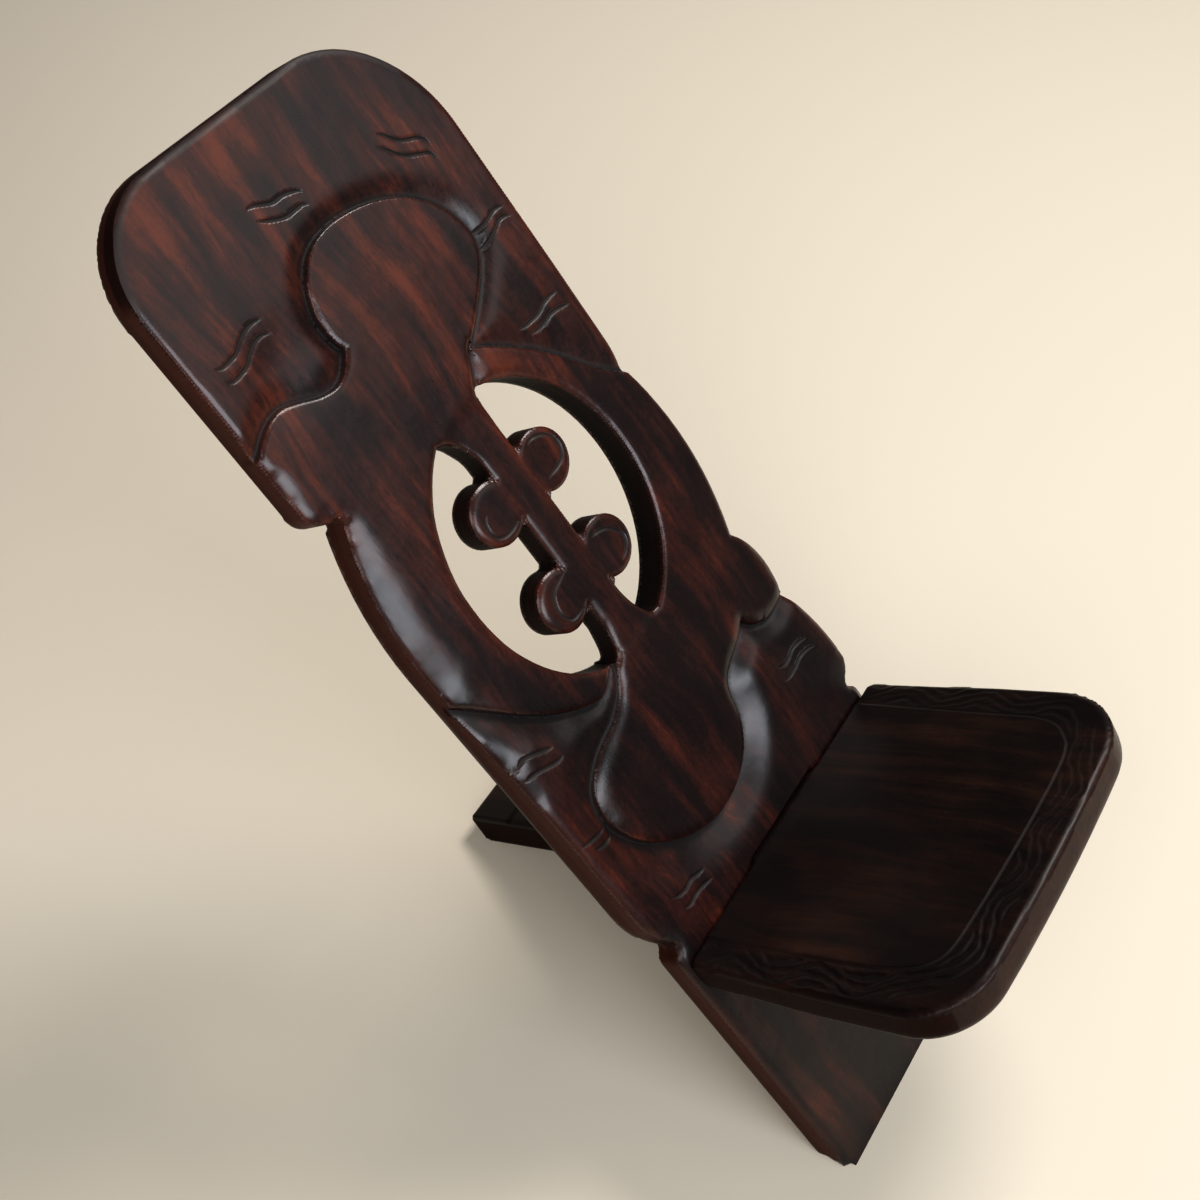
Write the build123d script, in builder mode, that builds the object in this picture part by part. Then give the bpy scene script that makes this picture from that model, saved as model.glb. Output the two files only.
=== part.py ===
from build123d import *
import os
from math import sin, cos, radians

# Two-board chair: a carved back board that leans back on its own front leg, and a seat board
# whose narrow tongue slides through a slot in the back board and stands on the floor behind.
# Millimetres. Origin: the middle of the back board's foot, on the floor. +X is the sitter's
# left, the front of the chair faces -Y, +Z is up.

os.makedirs("parts", exist_ok=True)

# --- how the two boards cross ---------------------------------------------------------------
lean_angle = 38.3  # back board, measured from the vertical
seat_rise = 31.5  # seat board, measured from the floor, front end up
seat_height = 245  # foot to seat top, measured up the back board's face
seat_shift = 11  # the seat sits this far to the sitter's left of the carving's axis

# --- back board: stations up its face, each measured from the one before ----------------------
board_thickness = 28
ring_rise = 301  # seat top to the centre of the ring
disc_rise = 204  # ring centre to the centre of the head disc
crown_rise = 150  # disc centre to the crown
body_drop = 72  # bottom of the ring's hole down to the middle of the pear-shaped body

# --- back board: reach of each edge from the carving's axis ------------------------------------
edge_left = 143  # the straight planed edge, on the sitter's right
ring_left = 146  # where the ring swells over it
head_right = 137
ring_right = 144
bump_right = 142
hip_right = 152
leg_left = 138
leg_right = 146

# --- back board: outline details --------------------------------------------------------------
crown_radius = 66  # crown corner beside the straight edge
crown_round_x = 93  # the other crown corner is a quarter of an ellipse
crown_round_y = 100
crown_fall = 8  # the top edge drops this much towards the elliptical corner
head_foot_drop = 82  # disc centre down to the head panel's lower corner
head_foot_radius = 16
ring_notch_depth = 23  # notch between the head panel and the ring
ring_notch_drop = 4  # it lies this far below the head panel's corner
head_side_foot = 104  # the other side of the head panel runs straight down to here, above the ring's centre
upper_nick_depth = 2  # nick between that side and the ring
upper_nick_rise = 36  # above the ring's centre
ring_bulge_drop = 41  # the ring is widest this far below its centre
lower_nick_depth = 16  # nick between the ring and the bump
lower_nick_drop = 118  # below the ring's centre
bump_bulge_rise = 22  # the bump is widest this far above the body's middle
bump_nick_depth = 5  # nick between the bump and the hip
bump_nick_drop = 2  # below the body's middle
hip_notch_depth = 14  # notch between the hip and the leg
hip_notch_rise = 13  # above the seat top
hip_curve = 44  # height over which the hip swells from its notch to the straight edge
hip_radius = 8
hip_slope = 10  # the hip's corner stands this far above its notch
leg_slope = 8  # the leg's shoulders lie this far below the notches
leg_radius = 8  # rounding of the leg's shoulders
nick_radius = 3  # every sharp notch is opened to this radius
edge_bevel = 4  # worn edges all round the board

# --- ring, spine and knobs --------------------------------------------------------------------
ring_shift = 3.5
ring_hole_x = 92.5
ring_hole_y = 111
ring_round = 6.5
spine_half = 14
spine_round = 4
spine_shift = 1.5
spine_inset = 0.5  # the spine lies this far behind the board's face
spine_back_inset = 6  # and stops this far short of the board's back
spine_flare = 70  # the spine flares out beyond this distance from the ring's centre
knob_radius = 23
knob_reach = 29  # spine's axis to a knob's centre
knob_spacing = 80  # from the upper pair to the lower pair
knob_drop = 2  # the four knobs' middle, below the ring's centre
knob_bevel = 3

# --- relief -----------------------------------------------------------------------------------
relief_depth = 6
relief_width = 20  # the ground rises back to the face over this width
hollow_depth = 9
hollow_radius = 30
hollow_length = 130
hollow_angle = 50  # it climbs towards the bump
hollow_across = 55  # its middle, from the carving's axis
hollow_drop = 38  # its middle, below the middle of the body

# --- seat board -------------------------------------------------------------------------------
seat_thickness = 32
seat_length = 236
seat_half = 149
seat_half_rear = 145
seat_corner_left = 60  # on the sitter's left
seat_corner_right = 54
seat_rear_corner = 12
seat_bow = 7  # the front edge swells this far
seat_top_round = 4
seat_under_round = 10
tongue_width = 96
tongue_round = 3
tongue_root = 52  # it is drawn this far into the seat
tongue_drop = 0.6  # the tongue is planed this much below the seat's top, so that it slides
tongue_foot = 8  # worn flat at the tip, where it stands on the floor
slot_clearance = 0.8  # all round the tongue
shoulder_overcut = 6  # the seat is drawn this far past the back board's face, then cut to it
shoulder_gap = 0.3  # between the seat's shoulders and the back board

# --- worked out from the sizes above ------------------------------------------------------------
lean = radians(lean_angle)
rise = radians(seat_rise)
ring_height = seat_height + ring_rise
disc_height = ring_height + disc_rise
board_length = disc_height + crown_rise
body_height = ring_height - ring_hole_y - body_drop
notch_height = seat_height + hip_notch_rise
foot_depth = board_thickness / cos(lean)

# board_plane: x across, y up the front face from the foot, z out of the face
board_plane = Plane(
    origin=(0, -foot_depth / 2, 0), x_dir=(1, 0, 0), z_dir=(0, -cos(lean), sin(lean))
)
# seat_plane: the seat's top face, x across, y back along the tongue, z up out of the seat
seat_origin = board_plane.from_local_coords((seat_shift, seat_height, 0))
seat_plane = Plane(origin=seat_origin, x_dir=(1, 0, 0), z_dir=(0, sin(rise), cos(rise)))
# slot_plane: across the tongue at the board's face, in the middle of its thickness
tongue_thickness = seat_thickness - tongue_drop
slot_origin = seat_plane.from_local_coords((0, 0, -tongue_drop - tongue_thickness / 2))
slot_plane = Plane(origin=slot_origin, x_dir=(1, 0, 0), z_dir=seat_plane.y_dir)

# The tongue is as long as it takes to reach the floor behind the board.
tongue_reach = (seat_origin.Z - seat_thickness * cos(rise)) / sin(rise) + tongue_foot * cos(rise)


def around_ring(angle, width):
    """A point outside the ring's hole, the given width of wood away from it."""
    turn = radians(angle)
    across = ring_shift + (ring_hole_x + width) * cos(turn)
    return (across, ring_height + (ring_hole_y + width) * sin(turn))


def placed(points, height):
    """Points written from one station of the board, moved up to that station."""
    return [(x, y + height) for x, y in points]


# --- the carved figure: lines seen from the front ------------------------------------------------
# Its upper edge: shoulder, head disc and the top of the arm, from the straight edge across.
shoulder_line = [(-edge_left - 8, -36), (-132, -18), (-110, -12), (-80, -24), (-43, -13)]
disc_line = [(-43, -13), (-45, 15), (-22, 45), (20, 48), (60, 33), (86, 7), (92, -25), (72, -49), (36, -73)]
arm_line = [around_ring(60, 20), around_ring(41, 20), around_ring(24, 26), around_ring(8, 60)]
# Its lower edge: the bump, round the pear-shaped body, and under the other arm to the edge.
bump_line = [(bump_right + 8, 6), (130, -5), (112, -6), (97, 2), (90, 13)]
body_line = [(90, 13), (66, 1), (45, -10), (37, -33), (16, -59), (-27, -70), (-75, -51)]
body_line += [(-104, -14), (-106, 22), (-80, 43), (-47, 53), (-34, 64), (-22, 84)]
under_arm_line = [around_ring(246, -5), around_ring(245, 10), around_ring(241, 18)]
under_arm_line += [around_ring(235, 22), around_ring(219, 30), around_ring(203, 41), around_ring(186, 66)]

with BuildPart() as figure:
    with BuildSketch(board_plane):
        with BuildLine():
            shoulder = Spline(*placed(shoulder_line, disc_height))
            disc = Spline(*placed(disc_line, disc_height))
            arm = Spline(disc @ 1, *arm_line)
            bump = Spline(*placed(bump_line, body_height))
            Line(arm @ 1, bump @ 0)
            body = Spline(*placed(body_line, body_height))
            under_arm = Spline(*under_arm_line)
            Line(body @ 1, under_arm @ 0)
            Line(under_arm @ 1, shoulder @ 0)
        make_face()
    extrude(amount=-2 * relief_depth)


def gouge_pass(edge):
    """One pass of a wide gouge: deepest along the edge, and rising to the face on its left."""
    path = board_plane * edge
    across = board_plane.z_dir.cross(path % 0)
    radius = (relief_width**2 + relief_depth**2) / (2 * relief_depth)
    with BuildPart() as cut:
        with BuildSketch(Plane(origin=path @ 0, x_dir=across, z_dir=path % 0)):
            with BuildLine():
                Line((relief_width, 1), (0, 1))
                Line((0, 1), (0, -relief_depth))
                RadiusArc((0, -relief_depth), (relief_width, 0), -radius)
                Line((relief_width, 0), (relief_width, 1))
            make_face()
        sweep(path=path)
    return cut.part


# The deep hollow beside the body: a long drop whose upper part stands clear of the wood.
hollow_turn = radians(hollow_angle)
hollow_along = board_plane.x_dir * cos(hollow_turn) + board_plane.y_dir * sin(hollow_turn)
hollow_height = body_height - hollow_drop
hollow_centre = board_plane.from_local_coords((hollow_across, hollow_height, hollow_radius - hollow_depth))
hollow_plane = Plane(origin=hollow_centre, x_dir=hollow_along, z_dir=board_plane.z_dir)

with BuildPart() as carving:
    for edge in (shoulder, disc, arm, bump, body, under_arm):
        add(gouge_pass(edge))
    with BuildSketch(hollow_plane):
        Ellipse(hollow_length / 2, hollow_radius)
        with Locations((0, -hollow_radius)):
            Rectangle(hollow_length, 2 * hollow_radius, mode=Mode.SUBTRACT)
    revolve(axis=Axis(hollow_centre, hollow_along))
    add(figure.part, mode=Mode.SUBTRACT)

# --- spine with its four knobs, cut from the same board as the ring -------------------------------
face_axis = Axis(board_plane.origin, board_plane.z_dir)
spine_plane = board_plane.offset(-spine_inset)
spine_thickness = board_thickness - spine_inset - spine_back_inset

# The flares at its two ends run on into the wood above and below the ring's hole.
spine_left = spine_shift - spine_half
spine_right = spine_shift + spine_half
flare_top_left = [(-46, 128), (-33, 106), (-20, 89), (spine_left, spine_flare)]
flare_top_right = [(spine_right, spine_flare), (18, 102), (30, 134)]
flare_low_left = [(spine_left, -spine_flare), (-16, -98), (-30, -130)]
flare_low_right = [(52, -128), (24, -100), (spine_right, -spine_flare)]

with BuildPart() as spine:
    with BuildSketch(spine_plane):
        with BuildLine():
            top_left = Spline(*placed(flare_top_left, ring_height))
            top_right = Spline(*placed(flare_top_right, ring_height))
            low_left = Spline(*placed(flare_low_left, ring_height))
            low_right = Spline(*placed(flare_low_right, ring_height))
            Line(top_left @ 1, low_left @ 0)
            Line(low_left @ 1, low_right @ 0)
            Line(low_right @ 1, top_right @ 0)
            Line(top_right @ 1, top_left @ 0)
        make_face()
    extrude(amount=-spine_thickness)
    spine_faces = spine.faces().sort_by(face_axis)
    fillet(spine_faces[-1].edges() + spine_faces[0].edges(), radius=spine_round)

with BuildPart() as knobs:
    with BuildSketch(spine_plane):
        with Locations((spine_shift, ring_height - knob_drop)):
            with GridLocations(2 * knob_reach, knob_spacing, 2, 2):
                Circle(knob_radius)
    extrude(amount=-spine_thickness)
    chamfer(knobs.edges().filter_by(GeomType.CIRCLE), length=knob_bevel)

# --- back board ----------------------------------------------------------------------------------
head_foot = disc_height - head_foot_drop
ring_notch = (-edge_left + ring_notch_depth, head_foot - ring_notch_drop)
upper_nick = (head_right - upper_nick_depth, ring_height + upper_nick_rise)
ring_bulge = (ring_right, ring_height - ring_bulge_drop)
lower_nick = (ring_right - lower_nick_depth, ring_height - lower_nick_drop)
bump_bulge = (bump_right, body_height + bump_bulge_rise)
bump_nick = (bump_right - bump_nick_depth, body_height - bump_nick_drop)
left_notch = (-edge_left + hip_notch_depth, notch_height)
right_notch = (hip_right - hip_notch_depth, notch_height)
left_shoulder = (-leg_left, notch_height - leg_slope)
right_shoulder = (leg_right, notch_height - leg_slope)
hip_corner = (hip_right, notch_height + hip_slope)
below_floor = -2 * board_thickness  # the foot is drawn long and cut off at the floor

with BuildPart() as back_board:
    with BuildSketch(board_plane) as outline:
        with BuildLine():
            # up the straight edge, past the hip, the ring and the head panel
            leg_edge = Line((-leg_left, below_floor), left_shoulder)
            Line(leg_edge @ 1, left_notch)
            hip_swell = TangentArc((-edge_left, notch_height + hip_curve), left_notch, tangent=(0, -1))
            ring_swell = TangentArc((-ring_left, ring_height), ring_notch, tangent=(0, 1))
            Line(hip_swell @ 0, ring_swell @ 0)
            Line(ring_notch, (-edge_left, head_foot))
            head_edge = Line((-edge_left, head_foot), (-edge_left, board_length))
            # across the crown and down the other side
            crown_corner = EllipticalCenterArc(
                center=(head_right - crown_round_x, board_length - crown_fall - crown_round_y),
                x_radius=crown_round_x,
                y_radius=crown_round_y,
                start_angle=0,
                arc_size=90,
            )
            Line(head_edge @ 1, crown_corner @ 1)
            head_side = Line(crown_corner @ 0, (head_right, ring_height + head_side_foot))
            TangentArc(head_side @ 1, upper_nick, tangent=(0, -1))
            ThreePointArc(upper_nick, ring_bulge, lower_nick)
            ThreePointArc(lower_nick, bump_bulge, bump_nick)
            hip_side = TangentArc((hip_right, notch_height + hip_curve / 2), bump_nick, tangent=(0, 1))
            Line(hip_side @ 0, hip_corner)
            Line(hip_corner, right_notch)
            Line(right_notch, right_shoulder)
            Line(right_shoulder, (leg_right, below_floor))
            Line((leg_right, below_floor), leg_edge @ 0)
        make_face()
        for corner, radius in (
            ((-edge_left, board_length), crown_radius),
            ((-edge_left, head_foot), head_foot_radius),
            (hip_corner, hip_radius),
            (left_shoulder, leg_radius),
            (right_shoulder, leg_radius),
            (left_notch, nick_radius),
            (right_notch, nick_radius),
            (ring_notch, nick_radius),
            (upper_nick, nick_radius),
            (lower_nick, nick_radius),
            (bump_nick, nick_radius),
        ):
            fillet(outline.vertices().sort_by_distance(corner)[0], radius=radius)
    extrude(amount=-board_thickness)
    plate_faces = back_board.faces().sort_by(face_axis)
    chamfer(plate_faces[-1].edges() + plate_faces[0].edges(), length=edge_bevel)
    with BuildSketch(board_plane):
        with Locations((ring_shift, ring_height)):
            Ellipse(ring_hole_x, ring_hole_y)
    extrude(amount=-board_thickness, mode=Mode.SUBTRACT)
    ring_edges = back_board.edges().filter_by(GeomType.ELLIPSE).sort_by(SortBy.LENGTH)[-2:]
    fillet(ring_edges, radius=ring_round)
    add(spine.part)
    add(knobs.part)
    add(carving.part, mode=Mode.SUBTRACT)
    with BuildSketch(slot_plane):
        Rectangle(tongue_width + 2 * slot_clearance, tongue_thickness + 2 * slot_clearance)
    extrude(amount=2 * board_thickness, both=True, mode=Mode.SUBTRACT)
    split(bisect_by=Plane.XY, keep=Keep.TOP)

back_board.part.label = "back_board"
export_step(back_board.part, "parts/back_board.step")

# --- seat board ----------------------------------------------------------------------------------
# In seat_plane's own x and y: the seat runs forward along -y and the tongue back along +y.
seat_front = -seat_length + seat_bow
corner_low = (-seat_half, seat_front)  # low and high in x
corner_high = (seat_half, seat_front)
rear_low = (-seat_half_rear, shoulder_overcut)
rear_high = (seat_half_rear, shoulder_overcut)

with BuildPart() as tongue:
    with BuildSketch(seat_plane.offset(-tongue_drop)):
        with Locations((0, (tongue_reach - tongue_root) / 2)):
            Rectangle(tongue_width, tongue_reach + tongue_root)
    extrude(amount=-tongue_thickness)
    fillet(tongue.edges().filter_by(Axis((0, 0, 0), seat_plane.y_dir)), radius=tongue_round)

with BuildPart() as seat_board:
    with BuildSketch(seat_plane) as seat_outline:
        with BuildLine():
            near_side = Line(rear_low, (-seat_half, -seat_length / 2))
            Line(near_side @ 1, corner_low)
            ThreePointArc(corner_low, (0, -seat_length), corner_high)
            far_side = Line(rear_high, (seat_half, -seat_length / 2))
            Line(far_side @ 1, corner_high)
            Line(rear_low, rear_high)
        make_face()
        for corner, radius in (
            (corner_low, seat_corner_right),
            (corner_high, seat_corner_left),
            (rear_low, seat_rear_corner),
            (rear_high, seat_rear_corner),
        ):
            fillet(seat_outline.vertices().sort_by_distance(corner)[0], radius=radius)
    extrude(amount=-seat_thickness)
    rims = seat_board.faces().sort_by(Axis(seat_plane.origin, seat_plane.z_dir))
    fillet(rims[-1].edges(), radius=seat_top_round)
    fillet(rims[0].edges(), radius=seat_under_round)
    # the shoulders are cut to lie against the leaning board
    split(bisect_by=board_plane.offset(shoulder_gap), keep=Keep.TOP)
    add(tongue.part)
    split(bisect_by=Plane.XY, keep=Keep.TOP)

seat_board.part.label = "seat_board"
export_step(seat_board.part, "parts/seat_board.step")
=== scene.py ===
# %% [markdown]
# # A carved two-board chair
# The chair is two planks of dark hardwood. The back board leans back on its own foot. The seat
# board has a long tongue, which goes through a slot in the back board and stands on the floor
# behind it. Both were sawn and adzed by hand, carved with gouges and polished with dark wax.
# This lesson takes the two measured solids of the chair, works the carver's softer forms and
# cuts into a fine copy of each, and gives them their wood, lights, floor and camera.

# %% Load the measured chair
import bpy
import numpy as np
from math import sin, cos, pi, radians
from mathutils import Matrix, Vector, kdtree


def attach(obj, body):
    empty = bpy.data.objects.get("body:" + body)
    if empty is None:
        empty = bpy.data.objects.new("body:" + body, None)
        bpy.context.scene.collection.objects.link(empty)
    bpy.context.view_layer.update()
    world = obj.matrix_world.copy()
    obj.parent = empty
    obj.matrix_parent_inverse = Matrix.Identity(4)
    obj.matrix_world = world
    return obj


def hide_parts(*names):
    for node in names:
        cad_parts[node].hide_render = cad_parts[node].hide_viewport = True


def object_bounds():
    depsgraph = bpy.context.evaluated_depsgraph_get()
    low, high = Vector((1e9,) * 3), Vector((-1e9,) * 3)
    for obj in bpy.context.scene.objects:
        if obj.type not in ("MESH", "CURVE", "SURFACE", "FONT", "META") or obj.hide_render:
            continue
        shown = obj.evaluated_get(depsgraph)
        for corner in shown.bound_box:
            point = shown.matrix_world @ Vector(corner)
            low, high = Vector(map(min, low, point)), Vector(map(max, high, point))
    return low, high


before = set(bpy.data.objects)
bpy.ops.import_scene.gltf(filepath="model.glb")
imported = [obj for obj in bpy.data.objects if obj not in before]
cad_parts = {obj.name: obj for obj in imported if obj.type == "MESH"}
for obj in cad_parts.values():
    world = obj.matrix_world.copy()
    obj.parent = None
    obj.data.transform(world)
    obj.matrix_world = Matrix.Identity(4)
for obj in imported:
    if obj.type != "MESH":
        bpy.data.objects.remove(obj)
cad_box = [list(corner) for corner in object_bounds()]
print("solids:", sorted(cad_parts), "box:", cad_box)

# %% [markdown]
# The camera comes first, because it decides what needs care. It stands in front of the chair
# and to the sitter's right, and looks steeply down on it. Its direction is written as a turn
# about the vertical, a height above the horizon and a small roll.

# %% Camera
camera_turn, camera_rise, camera_roll = radians(-55.92), radians(51.55), radians(-2.94)
back = Vector((sin(camera_turn), -cos(camera_turn), 0)) * cos(camera_rise)
back.z = sin(camera_rise)
level = Vector((cos(camera_turn), sin(camera_turn), 0))
upright = back.cross(level)
right = level * cos(camera_roll) + upright * sin(camera_roll)
up = upright * cos(camera_roll) - level * sin(camera_roll)

bpy.ops.object.camera_add(location=(-0.6302, -0.1416, 1.3347))
camera = bpy.context.object
camera.name = "camera"
camera.rotation_euler = Matrix((right, up, back)).transposed().to_euler()
camera.data.sensor_width = 36
camera.data.lens = 51.907
camera.data.shift_x = 0.0008
camera.data.shift_y = -0.0031
bpy.context.scene.camera = camera
print("camera looks along", [round(-c, 3) for c in back])

# %% [markdown]
# The floor is one pale matt sheet, far larger than the view.

# %% Floor
bpy.ops.mesh.primitive_plane_add(size=14, location=(0, 0, 0))
floor = bpy.context.object
floor.name = "floor"

floor_paint = bpy.data.materials.new("pale_floor")
floor_paint.use_nodes = True
paint = floor_paint.node_tree.nodes["Principled BSDF"]
paint.inputs["Base Color"].default_value = (0.62, 0.56, 0.465, 1)
paint.inputs["Roughness"].default_value = 0.9
paint.inputs["Specular IOR Level"].default_value = 0.2
floor.data.materials.append(floor_paint)
print("floor", floor.name)

# %% [markdown]
# Waxed wood is nearly black until something bright is mirrored in it, so the lights are placed
# by what they draw. A wide cool window in front and above is mirrored in every surface that
# turns to the left or upwards: the round edge of the ring, the hollows and the worn rims. A
# lamp high on the other side throws the short shadows under the carved steps, and a wide fill
# evens out the floor. A dim sheet of light, high in front, gives the flat upper face its faint
# grey bloom, and the rest stays dark.

# %% Lights
def soft_light(name, place, target, width, height, watts, colour):
    """A rectangular lamp at a place, turned towards a target."""
    bpy.ops.object.light_add(type="AREA", location=place)
    lamp = bpy.context.object
    lamp.name = name
    lamp.data.shape = "RECTANGLE"
    lamp.data.size, lamp.data.size_y = width, height
    lamp.data.energy = watts
    lamp.data.color = colour
    lamp.rotation_euler = (Vector(target) - Vector(place)).to_track_quat("-Z", "Y").to_euler()
    return lamp


middle = (0, 0.2, 0.3)
soft_light("window", (-0.4, -1.95, 1.6), middle, 1.5, 0.9, 38, (0.88, 0.93, 1.0))
soft_light("lamp", (1.5, 0.0, 2.5), middle, 0.9, 0.9, 58, (1.0, 0.97, 0.93))
soft_light("fill", (-1.7, -0.5, 2.3), (-0.3, 0, 0), 1.6, 1.6, 34, (1.0, 0.97, 0.93))
soft_light("bloom", (1.5, -1.7, 2.0), middle, 1.5, 1.0, 6.5, (1.0, 0.98, 0.96))

world = bpy.data.worlds.new("studio")
bpy.context.scene.world = world
world.use_nodes = True
world.node_tree.nodes["Background"].inputs["Color"].default_value = (0.95, 0.97, 1.0, 1)
world.node_tree.nodes["Background"].inputs["Strength"].default_value = 0.1
bpy.context.scene.view_settings.view_transform = "Standard"
bpy.context.scene.view_settings.look = "Medium High Contrast"

# %% [markdown]
# A carver lays a board flat to work on it, and so does this lesson. Each board has a matrix
# that takes it from the bench to its leaning place in the chair: on the bench x runs across the
# board, y along it and z up out of its face. The angles and the few distances are the ones
# that the solids were made with.

# %% The two boards on the bench
mm = 0.001
lean, rise = radians(38.3), radians(31.5)
board_thickness = 28 * mm
seat_height = 245 * mm
seat_shift = 11 * mm


def bench(origin, along, face):
    """The matrix that carries a board from the bench to its place in the chair."""
    across = along.cross(face)
    turn = Matrix((across, along, face)).transposed().to_4x4()
    return Matrix.Translation(origin) @ turn


board_up = Vector((0, sin(lean), cos(lean)))
board_face = Vector((0, -cos(lean), sin(lean)))
foot = Vector((0, -board_thickness / cos(lean) / 2, 0))
back_place = bench(foot, board_up, board_face)

tongue_way = Vector((0, cos(rise), -sin(rise)))
seat_face = Vector((0, sin(rise), cos(rise)))
seat_root = foot + board_up * seat_height + Vector((seat_shift, 0, 0))
seat_place = bench(seat_root, tongue_way, seat_face)
print("seat's rear edge at", [round(c, 4) for c in seat_root])

# %% [markdown]
# The solids are made of long thin triangles, which can't be shaped. So each board is copied,
# its loose triangles are joined, and it is remeshed into small even squares, like clay of the
# same form. Voxels follow the grid of the bench, so the flat faces stay exactly flat.

# %% Helpers: read and write the points of a mesh
def points_of(piece):
    """Every vertex's place, as rows of x, y, z."""
    co = np.empty(len(piece.data.vertices) * 3)
    piece.data.vertices.foreach_get("co", co)
    return co.reshape(-1, 3)


def put_points(piece, co):
    """Moves every vertex to its new place."""
    piece.data.vertices.foreach_set("co", co.ravel())
    piece.data.update()


def normals_of(piece):
    """Every vertex's normal."""
    no = np.empty(len(piece.data.vertices) * 3, np.float32)
    piece.data.vertex_normals.foreach_get("vector", no)
    return no.reshape(-1, 3).astype(float)


def centres_of(piece):
    """Every face's centre and normal."""
    centre = np.empty(len(piece.data.polygons) * 3)
    normal = np.empty(len(piece.data.polygons) * 3)
    piece.data.polygons.foreach_get("center", centre)
    piece.data.polygons.foreach_get("normal", normal)
    return centre.reshape(-1, 3), normal.reshape(-1, 3)


def ease(x, start, end):
    """0 before start, 1 after end, and a smooth climb between them."""
    t = np.clip((x - start) / (end - start), 0, 1)
    return t * t * (3 - 2 * t)


# %% Helpers: a fine copy on the bench
def alone(piece):
    """Deselects all else, and makes the piece the one that operators act on."""
    bpy.ops.object.select_all(action="DESELECT")
    piece.hide_set(False)
    piece.select_set(True)
    bpy.context.view_layer.objects.active = piece


def remesh(piece, grain):
    """Rebuilds a piece from even squares of the given size."""
    alone(piece)
    clay = piece.modifiers.new("clay", "REMESH")
    clay.mode = "VOXEL"
    clay.voxel_size = grain
    bpy.ops.object.modifier_apply(modifier="clay")
    print(piece.name, "has", len(piece.data.polygons), "squares")


def fine_copy(node, name, place, grain):
    """A copy of a CAD node, laid on the bench and remeshed."""
    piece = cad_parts[node].copy()
    piece.data = piece.data.copy()
    piece.name = piece.data.name = name
    piece.parent = None
    for key in list(piece.keys()):
        del piece[key]
    bpy.context.scene.collection.objects.link(piece)
    piece.data.transform(place.inverted())
    piece.data.materials.clear()
    alone(piece)
    bpy.ops.object.mode_set(mode="EDIT")
    bpy.ops.mesh.select_all(action="SELECT")
    bpy.ops.mesh.remove_doubles(threshold=0.00001)
    bpy.ops.object.mode_set(mode="OBJECT")
    remesh(piece, grain)
    return piece


grain = 2.8 * mm
carved_back = fine_copy("back_board", "carved_back", back_place, grain)

# %% [markdown]
# The solid already has the carving's main steps. To give them a carver's rounder forms, this
# copy first goes back to the uncut board: above the seat, every point of the front is raised
# to the face, and the board is remeshed once more. What was a step is flat again, and the
# holes stay open. The back corners of the ring, the spine and the knobs are squared too,
# because a square corner can be trued onto its sawn line in the next cell but one.

# %% Back to the uncut board
ring_centre = np.array((3.5, 546)) * mm
ring_hole = np.array((92.5, 111)) * mm


def from_hole(points):
    """1 on the edge of the ring's hole, less inside it and more outside."""
    return np.sqrt((((points[:, :2] - ring_centre) / ring_hole) ** 2).sum(1))


spine_inset = 6 * mm
well_inside = 0.985


def back_level(points):
    """Height of the back face, which the spine and its knobs don't reach."""
    return -board_thickness + spine_inset * (from_hole(points) < well_inside)


co = points_of(carved_back)
deepest_carving = 13 * mm
carved_from, carved_fully = 262 * mm, 275 * mm
to_raise = (co[:, 2] > -deepest_carving) * ease(co[:, 1], carved_from, carved_fully)
co[:, 2] *= 1 - to_raise

rounded_back = 8 * mm
ring_top, ring_fades = 655 * mm, 10 * mm
above_seat = ease(co[:, 1], carved_from, carved_fully)
below_head = ease(-co[:, 1], -ring_top - ring_fades, -ring_top)
above_back = co[:, 2] - back_level(co)
co[:, 2] -= above_back * (above_back < rounded_back) * (above_seat * below_head)
put_points(carved_back, co)
remesh(carved_back, grain)

# %% [markdown]
# The figure on the back board is a head disc, two arms that hold the ring, and a pear-shaped
# body. Its outline is read from the solid: an upright wall whose top touches the board's face
# belongs to the figure, and a taller wall to a hole or to the board's outer edge. Reading it
# keeps the carver's cuts exactly on the steps of the solid.

# %% Find the figure's outline and the board's edges
def wall_lines(node, place, shortest, tallest, lower_edge):
    """Points every millimetre along the edges of upright walls, with the walls' normals."""
    upright, on_the_edge = 0.05, 0.05 * mm
    turn = place.inverted()
    corners = [turn @ v.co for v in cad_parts[node].data.vertices]
    points, facing = [], []
    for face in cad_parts[node].data.polygons:
        a, b, c = (corners[i] for i in face.vertices)
        out = (b - a).cross(c - a)
        if out.length < 1e-12 or abs(out.normalized().z) > upright:
            continue
        low, high = min(a.z, b.z, c.z), max(a.z, b.z, c.z)
        if not shortest < high - low < tallest:
            continue
        edge = low if lower_edge else 0
        for p, q in ((a, b), (b, c), (c, a)):
            if abs(p.z - edge) < on_the_edge and abs(q.z - edge) < on_the_edge:
                steps = max(1, int((q - p).length / mm))
                for k in range(steps + 1):
                    points.append(list(p.lerp(q, k / steps))[:2])
                    facing.append(list(out.normalized())[:2])
    return np.array(points), np.array(facing)


step_heights, edge_heights = (0.5 * mm, 12 * mm), (12.5 * mm, 40 * mm)
figure_line, figure_facing = wall_lines("back_board", back_place, *step_heights, False)
edge_line, edge_facing = wall_lines("back_board", back_place, *edge_heights, True)
from_slot = np.abs(edge_line - (seat_shift, seat_height))
in_slot = (from_slot < (60 * mm, 25 * mm)).all(1)
edge_line, edge_facing = edge_line[~in_slot], edge_facing[~in_slot]
print("figure line", len(figure_line), "points; edges", len(edge_line), "points")

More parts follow.
